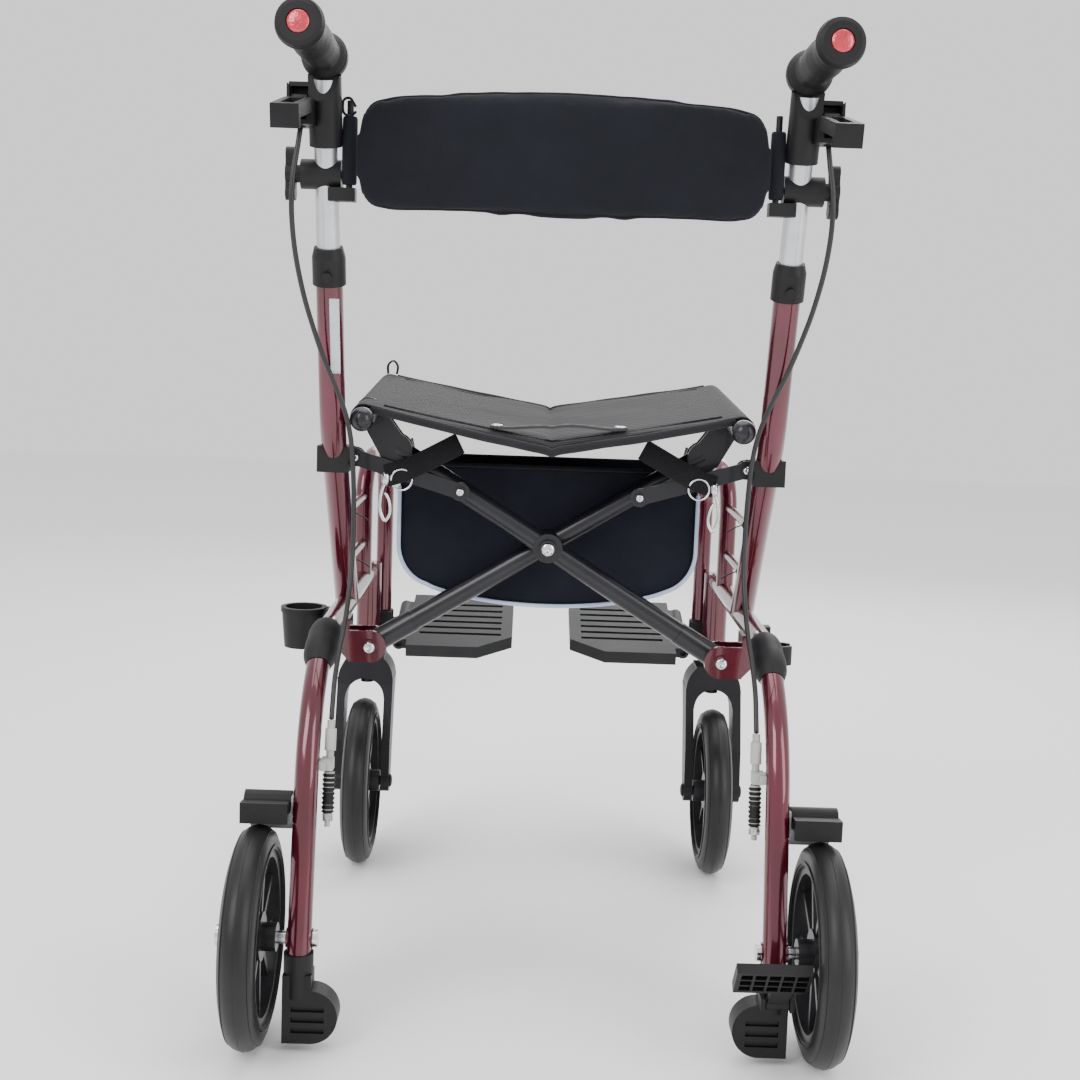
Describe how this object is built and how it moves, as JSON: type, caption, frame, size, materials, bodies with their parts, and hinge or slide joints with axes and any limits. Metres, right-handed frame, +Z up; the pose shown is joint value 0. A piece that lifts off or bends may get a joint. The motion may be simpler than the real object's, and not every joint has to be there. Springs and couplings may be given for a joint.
{
  "type": "rollator walker",
  "caption": "Folding rollator and transit chair with loop brakes, swivel casters, sling seat, padded backrest, under-seat bag and swing-away footrests.",
  "frame": {"origin": "on the floor under the middle of the walker's box", "axes": "+Z up, +Y the direction of travel, +X to the user's right; handles at the rear (-Y)"},
  "size_m": [0.582, 0.7647, 0.9146],
  "materials": {
    "red_paint": "metallic gloss",
    "black_metal": "gloss",
    "silver_tube": "satin anodised",
    "chrome": "polished",
    "black_plastic": "fine texture",
    "fork_plastic": "semi matte",
    "hanger_plastic": "semi matte",
    "rim_plastic": "gloss",
    "grip_rubber": "soft matte",
    "grey_fittings": "satin",
    "cable_sheath": "satin",
    "tyre": "solid rubber",
    "footplate_plastic": "fine texture",
    "navy_fabric": "fine woven",
    "seat_fabric": "woven sheet"
  },
  "bodies": {
    "left_frame": {"main_tube_left": "red_paint", "leg_tube_left": "red_paint", "front_loop_left": "red_paint", "cross_bracket_left": "red_paint", "link_bracket_left": "black_plastic", "height_collar_left": "black_plastic", "tip_lever_left": "black_plastic", "rear_axle_left": "chrome", "brake_unit_left": "grey_fittings", "brake_cable_left": "cable_sheath", "cane_cup": "black_plastic", "storage_bag": "navy_fabric"},
    "right_frame": {"main_tube_right": "red_paint", "leg_tube_right": "red_paint", "front_loop_right": "red_paint", "cross_bracket_right": "red_paint", "link_bracket_right": "black_plastic", "height_collar_right": "black_plastic", "tip_lever_right": "black_plastic", "rear_axle_right": "chrome", "brake_unit_right": "grey_fittings", "brake_cable_right": "cable_sheath", "cane_clip": "black_plastic"},
    "cross_a": {"cross_tube_a": "black_metal", "seat_rail_right": "black_metal"},
    "cross_b": {"cross_tube_b": "black_metal", "seat_rail_left": "black_metal"},
    "foot_pedal": {"foot_pedal": "black_plastic"},
    "left_handle": {"handle_tube_left": "silver_tube", "handle_shell_left": "black_plastic", "grip_left": "grip_rubber"},
    "brake_lever_left": {"brake_lever_left": "black_plastic"},
    "wing_knob_left": {"wing_knob_left": "black_plastic"},
    "backrest_left": {"backrest_half_left": "navy_fabric"},
    "rear_wheel_left": {"rear_tyre_left": "tyre", "rear_rim_left": "rim_plastic"},
    "caster_fork_left": {"caster_fork_left": "fork_plastic"},
    "caster_wheel_left": {"caster_tyre_left": "tyre", "caster_rim_left": "rim_plastic"},
    "brake_arm_left": {"brake_arm_left": "black_plastic"},
    "hanger_left": {"footrest_hanger_left": "hanger_plastic"},
    "footplate_left": {"footplate_left": "footplate_plastic"},
    "link_left": {"link_bar_left": "black_metal"},
    "seat_left": {"seat_half_left": "seat_fabric"},
    "right_handle": {"handle_tube_right": "silver_tube", "handle_shell_right": "black_plastic", "grip_right": "grip_rubber"},
    "brake_lever_right": {"brake_lever_right": "black_plastic"},
    "wing_knob_right": {"wing_knob_right": "black_plastic"},
    "backrest_right": {"backrest_half_right": "navy_fabric"},
    "rear_wheel_right": {"rear_tyre_right": "tyre", "rear_rim_right": "rim_plastic"},
    "caster_fork_right": {"caster_fork_right": "fork_plastic"},
    "caster_wheel_right": {"caster_tyre_right": "tyre", "caster_rim_right": "rim_plastic"},
    "brake_arm_right": {"brake_arm_right": "black_plastic"},
    "hanger_right": {"footrest_hanger_right": "hanger_plastic"},
    "footplate_right": {"footplate_right": "footplate_plastic"},
    "link_right": {"link_bar_right": "black_metal"},
    "seat_right": {"seat_half_right": "seat_fabric"}
  },
  "joints": [
    {"name": "frame_fold", "type": "hinge", "parent": "left_frame", "child": "cross_a", "pos_m": [-0.182, -0.026, 0.321], "axis": [0, -1, 0], "range_deg": [0, 36.5], "deforming": ["storage_bag", "brake_cable_right"]},
    {"name": "cross_pivot", "type": "hinge", "parent": "cross_a", "child": "cross_b", "pos_m": [0, -0.038, 0.433], "axis": [0, -1, 0], "range_deg": [-73, 0]},
    {"name": "right_frame_pivot", "type": "hinge", "parent": "cross_b", "child": "right_frame", "pos_m": [0.182, -0.05, 0.321], "axis": [0, -1, 0], "range_deg": [0, 36.5]},
    {"name": "link_pivot_left", "type": "hinge", "parent": "left_frame", "child": "link_left", "pos_m": [-0.198, -0.066, 0.5206], "axis": [0, -1, 0], "range_deg": [0, 74.23]},
    {"name": "link_pivot_right", "type": "hinge", "parent": "right_frame", "child": "link_right", "pos_m": [0.198, -0.066, 0.5206], "axis": [0, -1, 0], "range_deg": [-74.23, 0]},
    {"name": "seat_fold_right", "type": "hinge", "parent": "cross_a", "child": "seat_right", "pos_m": [0.186, -0.12, 0.562], "axis": [0, -0.9969, -0.0785], "range_deg": [-150.15, 0]},
    {"name": "seat_fold_left", "type": "hinge", "parent": "cross_b", "child": "seat_left", "pos_m": [-0.186, -0.12, 0.562], "axis": [0, -0.9969, -0.0785], "range_deg": [0, 150.15]},
    {"name": "handle_height_left", "type": "slide", "parent": "left_frame", "child": "left_handle", "axis": [0, -0.2969, 0.9549], "range_m": [-0.036, 0.06], "deforming": ["brake_cable_left"]},
    {"name": "backrest_fold_left", "type": "hinge", "parent": "left_handle", "child": "backrest_left", "pos_m": [-0.1935, -0.195, 0.808], "axis": [0, 0, 1], "range_deg": [-66.2, 0]},
    {"name": "brake_squeeze_left", "type": "hinge", "parent": "left_handle", "child": "brake_lever_left", "pos_m": [-0.236, -0.217, 0.846], "axis": [-1, 0, 0], "range_deg": [0, 20], "stiffness_Nm_per_rad": 1},
    {"name": "brake_arm_swing_left", "type": "hinge", "parent": "left_frame", "child": "brake_arm_left", "pos_m": [-0.25, -0.25, 0.217], "axis": [1, 0, 0], "range_deg": [0, 3.6]},
    {"name": "wing_knob_turn_left", "type": "hinge", "parent": "left_handle", "child": "wing_knob_left", "pos_m": [-0.24, -0.18668, 0.787], "axis": [1, 0, 0], "continuous": true},
    {"name": "rear_wheel_spin_left", "type": "hinge", "parent": "left_frame", "child": "rear_wheel_left", "pos_m": [-0.258, -0.283, 0.1], "axis": [1, 0, 0], "continuous": true},
    {"name": "caster_swivel_left", "type": "hinge", "parent": "left_frame", "child": "caster_fork_left", "pos_m": [-0.215, 0.267, 0.29], "axis": [0, 0, 1], "continuous": true},
    {"name": "caster_spin_left", "type": "hinge", "parent": "caster_fork_left", "child": "caster_wheel_left", "pos_m": [-0.215, 0.222, 0.1], "axis": [1, 0, 0], "continuous": true},
    {"name": "hanger_swing_left", "type": "hinge", "parent": "left_frame", "child": "hanger_left", "pos_m": [-0.2, 0.3, 0.3], "axis": [0, 0, 1], "range_deg": [0, 90]},
    {"name": "footplate_flip_left", "type": "hinge", "parent": "hanger_left", "child": "footplate_left", "pos_m": [-0.175, 0.3, 0.281], "axis": [0, -0.9744, -0.225], "range_deg": [0, 84.45]},
    {"name": "handle_height_right", "type": "slide", "parent": "right_frame", "child": "right_handle", "axis": [0, -0.2969, 0.9549], "range_m": [-0.036, 0.06], "deforming": ["brake_cable_right"]},
    {"name": "backrest_fold_right", "type": "hinge", "parent": "right_handle", "child": "backrest_right", "pos_m": [0.1935, -0.195, 0.808], "axis": [0, 0, 1], "range_deg": [0, 66.2]},
    {"name": "brake_squeeze_right", "type": "hinge", "parent": "right_handle", "child": "brake_lever_right", "pos_m": [0.236, -0.217, 0.846], "axis": [-1, 0, 0], "range_deg": [0, 20], "stiffness_Nm_per_rad": 1},
    {"name": "brake_arm_swing_right", "type": "hinge", "parent": "right_frame", "child": "brake_arm_right", "pos_m": [0.25, -0.25, 0.217], "axis": [1, 0, 0], "range_deg": [0, 3.6]},
    {"name": "wing_knob_turn_right", "type": "hinge", "parent": "right_handle", "child": "wing_knob_right", "pos_m": [0.24, -0.18668, 0.787], "axis": [1, 0, 0], "continuous": true},
    {"name": "rear_wheel_spin_right", "type": "hinge", "parent": "right_frame", "child": "rear_wheel_right", "pos_m": [0.258, -0.283, 0.1], "axis": [1, 0, 0], "continuous": true},
    {"name": "caster_swivel_right", "type": "hinge", "parent": "right_frame", "child": "caster_fork_right", "pos_m": [0.215, 0.267, 0.29], "axis": [0, 0, 1], "continuous": true},
    {"name": "caster_spin_right", "type": "hinge", "parent": "caster_fork_right", "child": "caster_wheel_right", "pos_m": [0.215, 0.222, 0.1], "axis": [1, 0, 0], "continuous": true},
    {"name": "hanger_swing_right", "type": "hinge", "parent": "right_frame", "child": "hanger_right", "pos_m": [0.2, 0.3, 0.3], "axis": [0, 0, 1], "range_deg": [-90, 0]},
    {"name": "footplate_flip_right", "type": "hinge", "parent": "hanger_right", "child": "footplate_right", "pos_m": [0.175, 0.3, 0.281], "axis": [0, 0.9744, 0.225], "range_deg": [0, 84.45]},
    {"name": "foot_pedal_press", "type": "hinge", "parent": "right_frame", "child": "foot_pedal", "pos_m": [0.215, -0.314, 0.066], "axis": [1, 0, 0], "range_deg": [0, 22], "stiffness_Nm_per_rad": 0.6}
  ],
  "couplings": [
    {"joint": "cross_pivot", "follows": "frame_fold", "ratio": -2},
    {"joint": "right_frame_pivot", "follows": "frame_fold", "ratio": 1},
    {"joint": "link_pivot_left", "follows": "frame_fold", "ratio": 2.02},
    {"joint": "link_pivot_right", "follows": "frame_fold", "ratio": -2.02},
    {"joint": "seat_fold_right", "follows": "frame_fold", "ratio": -4.1},
    {"joint": "seat_fold_left", "follows": "frame_fold", "ratio": 4.1},
    {"joint": "backrest_fold_left", "follows": "frame_fold", "ratio": -1.8},
    {"joint": "backrest_fold_right", "follows": "frame_fold", "ratio": 1.8},
    {"joint": "footplate_flip_left", "follows": "frame_fold", "ratio": 2.3},
    {"joint": "footplate_flip_right", "follows": "frame_fold", "ratio": 2.3},
    {"joint": "handle_height_right", "follows": "handle_height_left", "ratio": 1},
    {"joint": "brake_arm_swing_left", "follows": "brake_squeeze_left", "ratio": 0.175},
    {"joint": "brake_arm_swing_right", "follows": "brake_squeeze_right", "ratio": 0.175}
  ]
}
